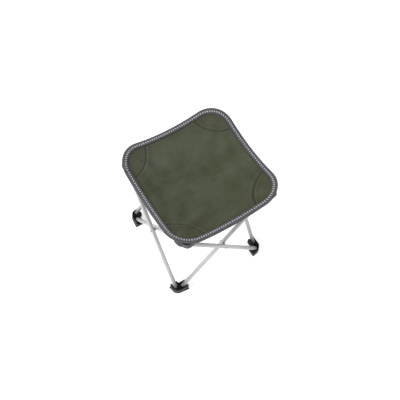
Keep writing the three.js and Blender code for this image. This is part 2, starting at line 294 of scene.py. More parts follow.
def seat_material():
    n = Nodes("olive_polyester", 0.78, Sheen_Weight=0.15, Sheen_Roughness=0.45)
    n.shader.inputs["Sheen Tint"].default_value = (0.75, 0.8, 0.65, 1)
    n.shader.inputs["Specular IOR Level"].default_value = 0.25
    split = n.add("ShaderNodeSeparateXYZ", {0: n.place})
    x, y = split.outputs[0], split.outputs[1]
    weave = n.math("MULTIPLY", n.wave(x, 0.0011), n.wave(y, 0.0011))
    slub = n.noise(420, 2.0, 0.6)
    mottle = n.noise(75, 4.0, 0.62)
    cloudy = n.noise(13, 4.0, 0.55)
    drawn = n.add("ShaderNodeMapping", {"Vector": n.place, "Rotation": (0, 0, 0.62), "Scale": (7, 24, 7)})
    fold = n.noise(1.0, 3.0, 0.5, drawn.outputs[0])      # long and narrow, across the seat
    base = n.ramp(mottle, (0.30, (0.044, 0.051, 0.025)), (0.52, (0.057, 0.065, 0.034)),
                  (0.75, (0.072, 0.080, 0.046)))
    base = n.mix(n.spread(cloudy, 0.38, 0.62, 0.0, 0.55), base, (0.080, 0.089, 0.058, 1))
    cornerwards = n.math("MULTIPLY", n.math("ABSOLUTE", x), n.math("ABSOLUTE", y))
    base = n.mix(n.spread(cornerwards, 0.009, 0.021, 0.0, 0.6), base, (0.048, 0.051, 0.022, 1))
    # Painted light: the cloth is painted lighter towards the back (painted sheen) and darker towards the
    # front (painted shade).
    base = n.mix(n.spread(y, 0.02, 0.14, 0.0, 0.32), base, PAINTED_LIGHT_OLIVE)
    base = n.mix(n.spread(y, -0.04, -0.15, 0.0, 0.34), base, (0.038, 0.042, 0.016, 1))
    # Painted highlight on the crests and painted shade in the troughs of the broad folds that the same
    # noise bumps.
    base = n.mix(n.spread(fold, 0.52, 0.72, 0.0, 0.40), base, PAINTED_LIGHT_OLIVE)
    base = n.mix(n.spread(fold, 0.48, 0.30, 0.0, 0.40), base, (0.033, 0.038, 0.018, 1))
    squares = [n.math("POWER", n.math("SUBTRACT", SEAM_CENTRE, n.math("ABSOLUTE", k)), 2) for k in (x, y)]
    arc = n.math("SUBTRACT", n.math("SQRT", n.math("ADD", *squares)), SEAM_RADIUS)
    line = n.spread(n.math("ABSOLUTE", arc), 0.0006, 0.0030, 1.0, 0.0)
    ridge = n.spread(n.math("ABSOLUTE", n.math("SUBTRACT", arc, 0.0065)), 0.0, 0.0045, 1.0, 0.0)
    shade = n.spread(n.math("ABSOLUTE", n.math("SUBTRACT", arc, 0.0175)), 0.003, 0.0120, 1.0, 0.0)
    patchy = n.math("MULTIPLY", n.spread(n.noise(20, 3.0, 0.5), 0.42, 0.66, 0.12, 1.0),
                    n.spread(y, 0.0, 0.10, 1.0, 0.35))
    # Along each seam arc: painted shade in the groove (line), a painted highlight on the puffed ridge
    # (ridge) and painted shade on the slope beyond it (shade).
    for part, strength, color in ((shade, 0.30, (0.029, 0.033, 0.018, 1)),
                                  (ridge, 0.28, (0.080, 0.087, 0.060, 1)),
                                  (line, 0.62, (0.016, 0.019, 0.010, 1))):
        base = n.mix(n.math("MULTIPLY", part, n.math("MULTIPLY", patchy, strength)), base, color)
    base = n.mix(n.spread(weave, -1, 1, 0.18, 0.0), base, (0.022, 0.026, 0.014, 1))
    base = n.mix(n.spread(slub, 0.3, 0.75, 0.0, 0.16), base, (0.085, 0.090, 0.062, 1))
    height = n.math("ADD", n.math("MULTIPLY", weave, 0.5), n.math("MULTIPLY", slub, 0.8))
    fine = n.bump(height, 0.00016, 0.7)
    sewn = n.math("SUBTRACT", n.math("MULTIPLY", ridge, 0.6), line)
    rippled = n.math("ADD", n.noise(38, 3.0, 0.55), sewn)
    normal = n.bump(fold, 0.008, 0.6, n.bump(rippled, 0.0012, 0.7, fine))
    return n.finish(base, normal, n.spread(mottle, 0.3, 0.7, 0.72, 0.86))


def webbing(n, weave, mottle, dark, light, gap, depth, roughness):
    """A coarse two-tone cloth: a weave with darker gaps, over an uneven dye."""
    n.shader.inputs["Specular IOR Level"].default_value = 0.3
    base = n.ramp(mottle, (0.3, dark), (0.7, light))
    base = n.mix(n.spread(weave, -1, 1, gap[0], 0.0), base, gap[1])
    height = n.math("ADD", n.math("MULTIPLY", weave, 0.5), mottle)
    return n.finish(base, n.bump(height, depth, 0.8), n.spread(mottle, 0.3, 0.7, *roughness))


def tape_material():
    n = Nodes("grey_binding", 0.8, Sheen_Weight=0.2, Sheen_Roughness=0.5)
    split = n.add("ShaderNodeSeparateXYZ", {0: n.place})
    weave = n.math("MULTIPLY", *(n.wave(n.math(sign, split.outputs[0], split.outputs[1]), 0.0012)
                                 for sign in ("ADD", "SUBTRACT")))
    return webbing(n, weave, n.noise(140, 3.0, 0.6), (0.064, 0.065, 0.072), (0.116, 0.117, 0.128),
                   (0.35, (0.024, 0.024, 0.030, 1)), 0.0002, (0.7, 0.88))


def pocket_material():
    n = Nodes("grey_pocket_cloth", 0.82, Sheen_Weight=0.2, Sheen_Roughness=0.5)
    split = n.add("ShaderNodeSeparateXYZ", {0: n.place})
    level = n.math("ADD", split.outputs[0], split.outputs[1])
    weave = n.math("MULTIPLY", n.wave(level, 0.0013), n.wave(split.outputs[2], 0.0011))
    return webbing(n, weave, n.noise(110, 4.0, 0.6), (0.054, 0.054, 0.057), (0.106, 0.106, 0.111),
                   (0.3, (0.022, 0.022, 0.025, 1)), 0.00022, (0.72, 0.9))


def grained(n, grain, dark, light, strength, roughness):
    """Two close tones and a fine relief that follow one grain."""
    base = n.ramp(grain, (0.3, dark), (0.7, light))
    return n.finish(base, n.bump(grain, 0.0001, strength), n.spread(grain, 0.3, 0.7, *roughness))


def thread_material(name, dark, light):
    n = Nodes(name, 0.6, Sheen_Weight=0.3, Sheen_Roughness=0.4)
    return grained(n, n.noise(900, 2.0, 0.5), dark, light, 0.6, (0.5, 0.72))


def plastic_material():
    n = Nodes("black_moulding", 0.42)
    n.shader.inputs["Specular IOR Level"].default_value = 0.22
    grain = n.noise(1500, 2.0, 0.5)
    scuff = n.noise(60, 5.0, 0.65)
    base = n.ramp(scuff, (0.35, (0.0045, 0.0047, 0.0052)), (0.62, (0.0075, 0.0078, 0.0085)),
                  (0.8, (0.015, 0.0155, 0.0165)))
    roughness = n.math("ADD", n.spread(scuff, 0.3, 0.75, 0.34, 0.52), n.math("MULTIPLY", grain, 0.06))
    return n.finish(base, n.bump(grain, 0.00012, 0.6), roughness)


# A lighter grey painted on the foot's recessed band: a painted highlight on the black moulding.
def band_highlight_material():
    n = Nodes("painted_band_highlight", 0.7)
    tones = (0.125, 0.125, 0.128), (0.175, 0.175, 0.180)
    return grained(n, n.noise(900, 3.0, 0.6), *tones, 0.6, (0.62, 0.78))


def tube_material():
    n = Nodes("silver_powder_coat", 0.36, Metallic=0.5, Coat_Weight=0.12, Coat_Roughness=0.25)
    peel = n.noise(700, 2.0, 0.5)
    haze = n.noise(22, 4.0, 0.6)
    fleck = n.noise(2600, 1.0, 0.5)
    base = n.ramp(haze, (0.3, (0.40, 0.40, 0.412)), (0.7, (0.47, 0.47, 0.48)))
    base = n.mix(n.spread(fleck, 0.45, 0.8, 0.0, 0.5), base, (0.58, 0.58, 0.59, 1))
    roughness = n.math("ADD", n.spread(haze, 0.3, 0.7, 0.28, 0.42), n.math("MULTIPLY", fleck, 0.08))
    return n.finish(base, n.bump(peel, 0.00008, 0.5), roughness)


def rivet_material(name, dark, light):
    n = Nodes(name, 0.4, Metallic=0.8)
    patch = n.noise(240, 4.0, 0.6)
    return grained(n, patch, (dark, dark, dark * 1.02), (light, light, light), 0.5, (0.3, 0.5))


def floor_material():
    n = Nodes("pale_floor", 0.9)
    n.shader.inputs["Specular IOR Level"].default_value = 0.0
    n.shader.inputs["Emission Color"].default_value = (1, 1, 1, 1)
    n.shader.inputs["Emission Strength"].default_value = 0.45
    soft = n.noise(0.8, 2.0, 0.5)
    return n.finish(n.ramp(soft, (0.3, (0.90, 0.90, 0.90)), (0.7, (0.92, 0.92, 0.92))))


CLOTH = seat_material()
TAPE = tape_material()
POCKET = pocket_material()
LIGHT_THREAD = thread_material("pale_thread", (0.53, 0.54, 0.56), (0.68, 0.69, 0.71))
GREEN_THREAD = thread_material("olive_thread", (0.012, 0.014, 0.008), (0.024, 0.027, 0.016))
PLASTIC = plastic_material()
BAND_HIGHLIGHT = band_highlight_material()
SILVER = tube_material()
ZINC = rivet_material("zinc_rivet", 0.42, 0.56)
DARK_STEEL = rivet_material("blackened_pin", 0.028, 0.045)


# ---- stage ------------------------------------------------
def add_light(name, position, size, power, target=(0, 0, 0.25)):
    data = bpy.data.lights.new(name, "AREA")
    data.shape = "DISK"
    data.size = size
    data.energy = power
    light = bpy.data.objects.new(name, data)
    scene.collection.objects.link(light)
    light.location = position
    light.rotation_euler = (Vector(target) - Vector(position)).to_track_quat("-Z", "Y").to_euler()


def add_stage():
    bm = bmesh.new()
    bmesh.ops.create_grid(bm, x_segments=2, y_segments=2, size=6)
    floor = from_bmesh("floor", bm, floor_material())
    world = bpy.data.worlds.new("studio")
    world.use_nodes = True
    background = world.node_tree.nodes["Background"]
    background.inputs["Color"].default_value = (1, 1, 1, 1)
    background.inputs["Strength"].default_value = 0.70
    scene.world = world
    add_light("key", (-1.5, 0.3, 1.5), 0.9, 27)
    add_light("fill", (1.6, -1.2, 1.6), 1.8, 3)


# ---- seat surface -----------------------------------------
SQUARE_CORNER_Z = 432.75    # heights in mm, where the seat's corners would be if they were square,
MID_EDGE_Z = 394.0          # in the middle of an edge
CENTRE_Z = 384.0            # and in the middle of the seat
ROUND_START = SEAT_HALF - CORNER_RADIUS


def seat_z(x, y):
    u = 1 - (x / SEAT_HALF) ** 2
    v = 1 - (y / SEAT_HALF) ** 2
    sag = SQUARE_CORNER_Z - MID_EDGE_Z
    ease = SQUARE_CORNER_Z - 2 * MID_EDGE_Z + CENTRE_Z
    return (SQUARE_CORNER_Z - sag * (u + v) + ease * u * v) * MM


def outline(x):
    """How far out the edge of a side lies at x."""
    over = max(0.0, abs(x) - ROUND_START)
    return ROUND_START + math.sqrt(CORNER_RADIUS ** 2 - over ** 2)


CELLS = 52                 # across the middle square of the cloth
ROWS = 9                   # from the hinge line out to the edge
FAN = 12                   # round each corner
CLOTH_INSET = 0.003        # the cloth's own edge lies this far inside the bound edge
BINDING_WIDTH = 0.0150


def seat_mesh():
    """The flat cut of the seat, lifted to its height, with each face's region in its material index:
    0 to 3 are the side panels, 4 to 7 the rims and 8 to 11 the corners."""
    bm = bmesh.new()
    found = {}

    def vertex(point):
        x, y = point[0], point[1]
        key = (round(x, 6), round(y, 6))
        if key not in found:
            found[key] = bm.verts.new((x, y, seat_z(x, y)))
        return found[key]

    def face(points, region):
        ring = []
        for v in (vertex(p) for p in points):
            if v not in ring:
                ring.append(v)
        if len(ring) > 2:
            bm.faces.new(ring).material_index = region

    step = 2 * HINGE_LINE / CELLS
    ticks = [-HINGE_LINE + k * step for k in range(CELLS + 1)]
    for side in range(4):
        turn = quarter(side)

        def at(x, y):
            return turn @ Vector((x, y, 0))

        # triangular panel: full cells, and half cells along its two diagonals
        for row in range(CELLS // 2):
            y0, y1 = ticks[row], ticks[row + 1]
            face([at(ticks[row], y0), at(ticks[row + 1], y0), at(ticks[row + 1], y1)], side)
            for k in range(row + 1, CELLS - row - 1):
                face([at(ticks[k], y0), at(ticks[k + 1], y0), at(ticks[k + 1], y1), at(ticks[k], y1)], side)
            last = CELLS - row - 1
            face([at(ticks[last], y0), at(ticks[last + 1], y0), at(ticks[last], y1)], side)

        # rim between the hinge line and the edge
        def rim_point(x, share):
            return at(x, -(HINGE_LINE + share * (outline(x) - CLOTH_INSET - HINGE_LINE)))

        for k in range(CELLS):
            for row in range(ROWS):
                a, b = row / ROWS, (row + 1) / ROWS
                ring = [rim_point(ticks[k], b), rim_point(ticks[k + 1], b),
                        rim_point(ticks[k + 1], a), rim_point(ticks[k], a)]
                face(ring, 4 + side)

        # corner: a fan from the inner point to the round outline
        reach = CORNER_RADIUS - CLOTH_INSET
        low = math.asin((HINGE_LINE - ROUND_START) / reach)

        def fan_point(round_share, share):
            angle = low + round_share * (math.pi / 2 - 2 * low)
            edge = (ROUND_START + reach * math.cos(angle), ROUND_START + reach * math.sin(angle))
            x, y = (HINGE_LINE + share * (c - HINGE_LINE) for c in edge)
            return at(-x, -y)

        for k in range(FAN):
            for row in range(ROWS):
                steps = ((0, 0), (0, 1), (1, 1), (1, 0))
                face([fan_point((k + i) / FAN, (row + j) / ROWS) for i, j in steps], 8 + side)
    bmesh.ops.recalc_face_normals(bm, faces=bm.faces)
    if sum(f.normal.z for f in bm.faces) < 0:
        bmesh.ops.reverse_faces(bm, faces=bm.faces)
    mesh = bpy.data.meshes.new("seat_cut")
    bm.to_mesh(mesh)
    bm.free()
    return mesh


def edge_distance(x, y):
    """How far a point lies inside the seat's outline."""
    dx, dy = abs(x) - ROUND_START, abs(y) - ROUND_START
    if dx > 0 and dy > 0:
        return CORNER_RADIUS - math.hypot(dx, dy)
    return CORNER_RADIUS - max(dx, dy)


CLOTH_SETTINGS = {
    "quality": 8, "mass": 0.25, "tension_stiffness": 30, "compression_stiffness": 20, "shear_stiffness": 8,
    "bending_stiffness": 0.35, "tension_damping": 12, "shear_damping": 12, "air_damping": 3,
    "shrink_min": -0.012,     # slack
}


def simulate(obj):
    """Lets the slack cloth hang from its bound edge and corners."""
    group = obj.vertex_groups.new(name="held")
    for v in obj.data.vertices:
        x, y = v.co.x, v.co.y
        in_corner = min(abs(x), abs(y)) > HINGE_LINE - 0.004
        depth = edge_distance(x, y)
        if in_corner or depth < BINDING_WIDTH + 0.002:
            group.add([v.index], 1.0, "REPLACE")
    cloth = obj.modifiers.new("cloth", "CLOTH")
    settings = cloth.settings
    settings.vertex_group_mass = "held"
    for name, value in CLOTH_SETTINGS.items():
        setattr(settings, name, value)
    cloth.collision_settings.use_self_collision = False
    last = 45
    cloth.point_cache.frame_start = 1
    cloth.point_cache.frame_end = last
    for frame_number in range(1, last + 1):
        scene.frame_set(frame_number)
    applied(obj)
    obj.vertex_groups.clear()
    scene.frame_set(1)


def gauss(value, width):
    return math.exp(-((value / width) ** 2))


def seam_relief(x, y):
    """Height added along the sewn arcs: a pulled-in groove with a puffed ridge on both sides, in mm."""
    d = math.hypot(abs(x) - SEAM_CENTRE, abs(y) - SEAM_CENTRE) - SEAM_RADIUS
    fade = min(1.0, max(0.0, edge_distance(x, y) - BINDING_WIDTH) / 0.008)
    groove = -1.5 * gauss(d, 0.0024)
    ridge = 1.5 * gauss(d - 0.0075, 0.0045)
    inner = 0.9 * gauss(d + 0.007, 0.0045)
    taut = 0.55 if y > 0 else 1.0
    return (groove + ridge + inner) * fade * taut


FAN_HEIGHT, SLOW_HEIGHT, FINE_HEIGHT = 2.0, 5.0, 1.3       # of the folds and the two unevennesses, in mm
HUB_CALM = 0.122            # the cloth lies flat on the hubs' pads from here outwards


def crease_relief(x, y):
    """Soft tension folds that fan out of the corners, and a gentle unevenness all over, in mm."""
    fade = min(1.0, max(0.0, edge_distance(x, y) - BINDING_WIDTH) / 0.030)
    height = 0.0
    for side in range(4):
        local = quarter(-side) @ Vector((x, y, 0))
        dx, dy = local.x + CORNER, local.y + CORNER
        reach, angle = math.hypot(dx, dy), math.atan2(dy, dx)
        fan = math.sin(11 * angle + 1.9 * side + 18 * reach)
        height += FAN_HEIGHT * fan * gauss(reach - 0.105, 0.045)
    place = Vector((x, y, 0))
    height += SLOW_HEIGHT * noise.noise(place * 14 + Vector((3.1, 0, 7.7)))
    height += FINE_HEIGHT * noise.noise(place * 42 + Vector((0, 5.3, 1.9)))
    off_hub = min(1.0, max(0.0, HUB_CALM - min(abs(x), abs(y))) / 0.028)
    return height * fade * off_hub


def make_seat():
    cut = new_object("seat_cut", seat_mesh(), None)
    simulate(cut)
    subdivide = cut.modifiers.new("subdivide", "SUBSURF")
    subdivide.levels = 1
    subdivide.render_levels = 1
    subdivide.boundary_smooth = "ALL"
    applied(cut)
    mesh = cut.data
    for v in mesh.vertices:
        v.co.z += (seam_relief(v.co.x, v.co.y) + crease_relief(v.co.x, v.co.y)) * MM
    mesh.update()
    points = np.array([v.co for v in mesh.vertices])
    normals = np.array([v.normal for v in mesh.vertices])
    faces = [(list(p.vertices), p.material_index) for p in mesh.polygons]
    bpy.data.objects.remove(cut)
    return points, normals, faces


CLOTH_THICKNESS = 0.0007


def cloth_piece(name, points, normals, faces):
    """A thin closed piece cut out of the whole cloth, shaded with the whole cloth's normals."""
    used = sorted({k for f in faces for k in f})
    index = {k: i for i, k in enumerate(used)}
    count = len(used)
    top = points[used]
    bottom = top - CLOTH_THICKNESS * normals[used]
    rings = [[index[k] for k in f] for f in faces]
    edges = [pair for ring in rings for pair in zip(ring, ring[1:] + ring[:1])]
    known = set(edges)
    border = [(a, b) for a, b in edges if (b, a) not in known]
    polygons = rings + [[k + count for k in reversed(ring)] for ring in rings]
    polygons += [[b, a, a + count, b + count] for a, b in border]
    mesh = bpy.data.meshes.new(name)
    mesh.from_pydata(np.vstack([top, bottom]).tolist(), [], polygons)
    mesh.polygons.foreach_set("use_smooth", [True] * len(polygons))
    mesh.update()
    both = np.vstack([normals[used], -normals[used]])
    custom = []
    for polygon in mesh.polygons:
        wall = polygon.index >= 2 * len(rings)
        for k in polygon.vertices:
            custom.append(tuple(polygon.normal) if wall else tuple(both[k]))
    mesh.normals_split_custom_set(custom)
    return new_object(name, mesh, CLOTH)


# ---- how seat pieces follow the fold ----------------------
FOLDED_TILT = math.atan2(CORNER - PIVOT_INSET, (HUB_PIVOT_Z - FOOT_PIVOT_Z) / 2) - FOLD
TUBE_SPAN = math.hypot(2 * (CORNER - PIVOT_INSET), HUB_PIVOT_Z - FOOT_PIVOT_Z)


def follow(obj, region, side):
    """Rides a seat piece on its panel or on its corner's hub; a piece other than a corner gets a mesh of
    its own.
    """
    ride_on = f"panel_{SIDES[side]}" if region == "panel" else f"hub_{CORNERS[side]}"
    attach(obj, ride_on)
    if region != "corner":
        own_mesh(obj)


def place_name(region, side):
    return CORNERS[side] if region == "corner" else SIDES[side]


def region_of(x, y):
    """The region and side that a point of the seat belongs to."""
    views = [(x, y), (y, -x), (-x, -y), (-y, x)]
    for side, (a, b) in enumerate(views):
        if a < -HINGE_LINE and b < -HINGE_LINE:
            return "corner", side
        if b < -HINGE_LINE and abs(a) <= HINGE_LINE:
            return "rim", side
    side = max(range(4), key=lambda k: -views[k][1])
    return "panel", side


# ---- binding tape and stitches ----------------------------
def edge_point(side, share, region):
    """A point of the seat's outline and its inward direction, along a side's rim or round a corner."""
    if region == "corner":
        low = math.asin((HINGE_LINE - ROUND_START) / CORNER_RADIUS)
        angle = low + share * (math.pi / 2 - 2 * low)
        inward = Vector((math.cos(angle), math.sin(angle), 0))
        point = Vector((-ROUND_START, -ROUND_START, 0)) - CORNER_RADIUS * inward
    else:
        x = HINGE_LINE * (2 * share - 1)
        over = math.copysign(max(0.0, abs(x) - ROUND_START), x)
        point = Vector((x, -outline(x), 0))
        inward = Vector((-over, math.sqrt(CORNER_RADIUS ** 2 - over ** 2), 0)).normalized()
    turn = quarter(side)
    return turn @ point, turn @ inward


def edge_run(side, region):
    steps = 26 if region == "corner" else 78
    return [edge_point(side, k / steps, region) for k in range(steps + 1)]


TAPE_PROFILE = [            # (inward from the edge, above the cloth), once round the folded tape, in mm
    (15.0, 0.3), (14.5, 0.9), (11.0, 1.1), (8.0, 1.1), (4.4, 0.95), (1.4, 0.5), (-0.6, -0.4),
    (-1.8, -1.6), (-2.1, -2.9), (-1.6, -4.0), (-0.4, -4.7), (2.4, -5.0), (7.0, -4.3), (11.0, -3.4),
    (13.8, -2.7), (14.0, -2.1), (11.0, -2.5), (7.0, -3.4), (2.6, -4.0), (0.6, -3.6), (-0.4, -2.9),
    (-0.2, -2.0), (1.0, -0.9), (3.2, -0.1), (6.0, 0.2), (9.0, 0.3), (14.0, 0.15),
]


def tape_piece(name, side, region):
    rings = []
    for point, inward in edge_run(side, region):
        ring = []
        for inside, above in TAPE_PROFILE:
            p = point + inside * MM * inward
            ripple = 0.18 * math.sin(900 * (p.x + p.y)) * min(1.0, max(0.0, inside / 8))
            ring.append((p.x, p.y, seat_z(p.x, p.y) + (above + ripple) * MM))
        rings.append(ring)
    return lofted(name, rings, TAPE)


# Radius of the dark cord along the tape's inner edge: stitching and painted shade.
EDGE_SEAM_AND_SHADE_RADIUS = 0.0009


def edge_seam_and_shade_piece(name, side, region):
    """The line of lockstitch that holds the tape's inner edge down, drawn as an unbroken dark cord that is
    also painted shade where the tape meets the cloth.
    """
    rings = []
    for point, inward in edge_run(side, region):
        p = point + (BINDING_WIDTH + EDGE_SEAM_AND_SHADE_RADIUS) * inward
        centre = Vector((p.x, p.y, seat_z(p.x, p.y) + 0.2 * MM))
        rings.append([centre + EDGE_SEAM_AND_SHADE_RADIUS * (inward * math.cos(a) + Vector((0, 0, 1)) * math.sin(a))
                      for a in (math.pi * k / 4 for k in range(8))])
    return lofted(name, rings, GREEN_THREAD)


def edge_length_walk(pitch, inside):
    """Evenly spaced places along the whole edge, as (side, share, region)."""
    fine = []
    samples = 300
    for side in range(4):
        for region in ("corner", "rim"):
            for k in range(samples):
                share = (k + 0.5) / samples
                point, inward = edge_point(side, share, region)
                fine.append((point + inside * inward, side, share, region))
    total, walked = 0.0, []
    for a, b in zip(fine, fine[1:] + fine[:1]):
        walked.append(total)
        total += (b[0] - a[0]).length
    count = round(total / pitch)
    places, k = [], 0
    for i in range(count):
        goal = (i + 0.5) * total / count
        while k + 1 < len(walked) and walked[k + 1] < goal:
            k += 1
        places.append(fine[k][1:])
    return places


STRAND_SHAPE = ((0, -0.6, 0.5), (0.12, 0.35, 0.9), (0.35, 1, 1),     # share of the way, height, girth
                (0.65, 1, 1), (0.88, 0.35, 0.9), (1, -0.6, 0.5))


def add_strand(bm, start, end, radius, lift):
    """One thread lying on the surface from start to end, its ends tucked in."""
    direction = (end - start).normalized()
    side = direction.cross(Vector((0, 0, 1))).normalized()
    up = side.cross(direction)
    rings = []
    for share, height, girth in STRAND_SHAPE:
        centre = start.lerp(end, share) + up * lift * height
        ring = []
        for k in range(6):
            angle = math.pi * k / 3
            ring.append(centre + radius * girth * (side * math.cos(angle) + up * math.sin(angle)))
        rings.append(ring)
    loft(bm, rings)


def add_thread_pieces(meshes, kind, material):
    """Makes one piece of the threads of each region."""
    for (region, side), bm in meshes.items():
        obj = from_bmesh(f"{place_name(region, side)}_{region}_{kind}", bm, material)
        follow(obj, region, side)


STITCH_PITCH = 0.0071
STITCH_LINE = 0.0084       # from the edge to the middle of a stitch
STITCH_LENGTH = 0.0046
STITCH_SLANT = 0.0010
THREAD_SPACING = 0.00082
THREAD_RADIUS = 0.00050


def add_stitches():
    """A row of short satin stitches across the tape, three threads each."""
    meshes = {}
    for side, share, region in edge_length_walk(STITCH_PITCH, STITCH_LINE):
        point, inward = edge_point(side, share, region)
        along = Vector((-inward.y, inward.x, 0))
        bm = meshes.setdefault((region, side), bmesh.new())
        for offset in (-1, 0, 1):
            ends = []
            for half in (-0.5, 0.5):
                p = point + (STITCH_LINE + half * STITCH_LENGTH) * inward
                p += along * (THREAD_SPACING * offset + half * STITCH_SLANT)
                ends.append(Vector((p.x, p.y, seat_z(p.x, p.y) + 1.2 * MM)))
            add_strand(bm, ends[0], ends[1], THREAD_RADIUS, 0.0003)
    add_thread_pieces(meshes, "stitches", LIGHT_THREAD)


# ---- pocket seams on the seat -----------------------------
def surface_sampler(points, faces):
    """Gives the height of the finished cloth at a place."""
    tree = BVHTree.FromPolygons([Vector(p) for p in points], [f for f, _ in faces])

    def height(x, y):
        hit = tree.ray_cast(Vector((x, y, 1)), Vector((0, 0, -1)))
        return hit[0].z if hit[0] is not None else None

    return height


SEAM_LINES = (              # radius of the arc, pitch, half a stitch's share of the pitch, thread radius
    (SEAM_RADIUS, 0.0036, 0.5, 0.00075),
    (SEAM_RADIUS - 0.011, 0.0040, 0.34, 0.00050),
)


def add_seams(height):
    """Two dark lines of stitching along the sewn arc of each corner, a close one and a spaced one."""
    meshes = {}
    for side in range(4):
        for radius, pitch, fill, thickness in SEAM_LINES:
            count = int(radius * math.pi / 2 / pitch)
            for k in range(count):
                middle = (k + 0.5) * math.pi / 2 / count
                half = fill * pitch / radius
                ends = []
                for angle in (middle - half, middle + half):
                    p = quarter(side) @ Vector((radius * math.cos(angle) - SEAM_CENTRE,
                                                radius * math.sin(angle) - SEAM_CENTRE, 0))
                    z = height(p.x, p.y)
                    if z is not None and edge_distance(p.x, p.y) > BINDING_WIDTH + 0.001:
                        ends.append(Vector((p.x, p.y, z + 0.0001)))
                if len(ends) == 2:
                    centre = (ends[0] + ends[1]) / 2
                    bm = meshes.setdefault(region_of(centre.x, centre.y), bmesh.new())
                    add_strand(bm, ends[0], ends[1], thickness, 0.0002)
    add_thread_pieces(meshes, "seam", GREEN_THREAD)


def add_cloth(points, normals, faces):
    """Four panels, four rims and four corners. A rim's flat area is that of its rectangle."""
    for kind, region in enumerate(("panel", "rim", "corner")):
        for side in range(4):
            own = [f for f, tag in faces if tag == 4 * kind + side]
            node = f"{place_name(region, side)}_seat_{region}"
            obj = cloth_piece(f"{node}_cloth", points, normals, own)
            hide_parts(node)
            follow(obj, region, side)


def add_tape():
    for side in range(4):
        for region in ("rim", "corner"):
            name = place_name(region, side)
            tape = tape_piece(f"{name}_tape", side, region)
            if region == "rim":
                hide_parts(f"{name}_binding")
            follow(tape, region, side)
            # A dark cord along the tape's inner edge: stitching and painted shade.
            line = edge_seam_and_shade_piece(f"{name}_tape_seam", side, region)
            follow(line, region, side)


def add_seat():
    points, normals, faces = make_seat()
    add_cloth(points, normals, faces)
    add_tape()
    add_stitches()
    add_seams(surface_sampler(points, faces))


# ---- corner mouldings -------------------------------------
def corner_plan(offset, flare):
    """Outline of a corner moulding in plan: two arms and a round outer corner, grown by offset.
    Its arms spread by flare more at their ends."""
    left = -INBOARD - WALL - offset
    front = -OUTER_FACE - offset
    radius = CORNER_ROUND + offset
    side = INBOARD + WALL
    points = [(ARM, front - flare), (ARM, side), (OUTER_FACE, side), (OUTER_FACE, ARM), (left - flare, ARM)]
    steps = 12
    for k in range(steps + 1):
        angle = math.pi * (1 + k / steps / 2)
        points.append((left + radius * (1 + math.cos(angle)), front + radius * (1 + math.sin(angle))))
    return points


def plan_solid(levels):
    """Solid through the plan at several heights. Levels are (height, outward offset, flare), in mm."""
    return lofted("moulding", [[(x, y, height * MM) for x, y in corner_plan(offset * MM, flare * MM)]
                               for height, offset, flare in levels])


def plate(points, low, high, along_x):
    """An upright plate with the given side profile of (distance along, height), between low and high."""
    return lofted("plate", [[(a, across, z) if along_x else (across, a, z) for a, z in points]
                            for across in (low, high)])


ROOF_REACH = 0.007          # roof over the tubes' ends, from the corner point
ROOF_RISE = 0.008
FIN_RISE = 0.014
GUSSET_RISE = 0.012
GUSSET_REACH = 0.006


SLOT_END = ARM + 0.009
SWING_ROOM = SWING + 0.0004
HAIR = 0.0001               # keeps faces that would coincide a little apart


def slot_tools(base, along_x):
    """The room a tube swings in: round at the tube's end, and roofed over that end."""
    nose = TUBE_RADIUS - 0.001
    centre = PIVOT_INSET - SWING_ROOM + nose
    lower = [(SLOT_END, -CHANNEL), (SLOT_END, CHANNEL)]
    steps = 14
    for k in range(steps + 1):
        angle = math.pi / 2 + math.pi * k / steps
        lower.append((centre + nose * math.cos(angle), CHANNEL * math.sin(angle)))
    upper = [(SLOT_END, -CHANNEL), (SLOT_END, CHANNEL), (ROOF_REACH, CHANNEL), (ROOF_REACH, -CHANNEL)]
    spans = ((lower, base - SWING_ROOM, base + 0.002), (upper, base + 0.0012, base + 0.03))
    return [lofted("tool", [[(a, c + STAGGER, z) if along_x else (-c - STAGGER, a, z) for a, c in plan]
                            for z in (low, high)])
            for plan, low, high in spans]


def fin_outline(start, root, top):
    """Side profile of an inner wall that rises to a fin at the arm's end."""
    first, rise = start
    return [(first, root), (ARM, root), (ARM, top - 0.011), (ARM - 0.003, top - 0.002), (ARM - 0.006, top),
            (rise, top - 0.001), (first, top - 0.003)]


def corner_moulding(name, base, levels, extras, horn_rise):
    """Foot or hub. The levels run from its flat end to the top of its outer walls."""
    body = plan_solid(levels)
    for extra in extras:
        combine(body, extra, "UNION")
    root, fin_top = base - SWING - 0.002, base + FIN_RISE
    inner = OUTER_FACE - WALL + HAIR
    low_fin = fin_outline((inner + 0.001, 0.013), root, fin_top)
    combine(body, plate(low_fin, INBOARD + HAIR, INBOARD + WALL - HAIR, True), "UNION")
    far_fin = fin_outline((INBOARD + HAIR, INBOARD + 0.006), root, fin_top)
    combine(body, plate(far_fin, inner, OUTER_FACE - HAIR, False), "UNION")
    gusset = box_object(inner + HAIR, GUSSET_REACH, INBOARD + 2 * HAIR, INBOARD + GUSSET_REACH,
                        root, base + GUSSET_RISE)
    combine(body, gusset, "UNION")
    if horn_rise:
        low, high = base + 0.004, base + horn_rise
        horn = [(0.011, low), (ARM - HAIR, low), (ARM - HAIR, high - 0.001), (ARM - 0.002, high),
                (ARM - 0.006, high - 0.001)]
        combine(body, plate(horn, -OUTER_FACE + HAIR, -OUTER_FACE + WALL - HAIR, True), "UNION")
        combine(body, plate(horn, -INBOARD - WALL + HAIR, -INBOARD - HAIR, False), "UNION")
    for along_x in (True, False):
        for tool in slot_tools(base, along_x):
            combine(body, tool, "DIFFERENCE")
    bore = [(0, -0.014), (0.0022, -0.014), (0.0022, 0.014), (0, 0.014)]
    for position, axis in (((PIVOT_INSET, STAGGER, base), (0, 1, 0)),
                           ((-STAGGER, PIVOT_INSET, base), (1, 0, 0))):
        combine(body, turned("tool", bore, along_axis(position, axis), 16), "DIFFERENCE")
    soften(body, 0.0006)
    body.data.polygons.foreach_set("use_smooth", [True] * len(body.data.polygons))
    body.data.materials.clear()
    body.data.materials.append(PLASTIC)
    body.name = name
    return body


